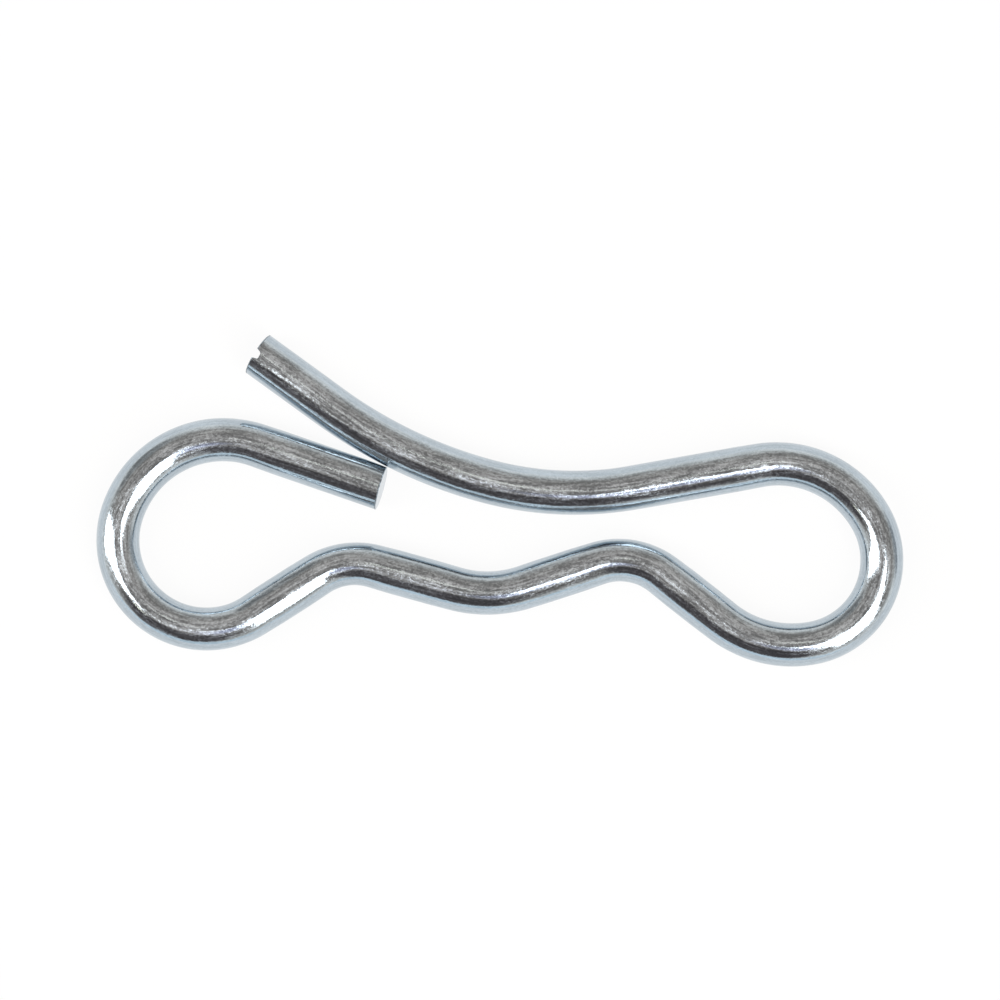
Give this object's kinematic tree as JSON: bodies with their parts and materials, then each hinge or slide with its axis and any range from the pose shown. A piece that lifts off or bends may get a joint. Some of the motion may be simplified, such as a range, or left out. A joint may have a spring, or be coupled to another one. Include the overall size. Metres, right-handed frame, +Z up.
{
  "type": "bow tie cotter pin",
  "caption": "Zinc plated spring wire clip bent flat like a bow tie, with a long leg that goes through a shaft's cross hole and a wavy back that seats on the shaft",
  "frame": {"origin": "centre of the bottom of the pin's box, lying flat", "axes": "+X from the locking loop to the pull loop, +Y from the dip to the long leg's tip, +Z up out of the pin's plane"},
  "size_m": [0.0574, 0.0236, 0.0032],
  "materials": {
    "zinc_wire": "bright zinc plated"
  },
  "bodies": {
    "root": {"pin_wire": "zinc_wire"}
  },
  "joints": []
}
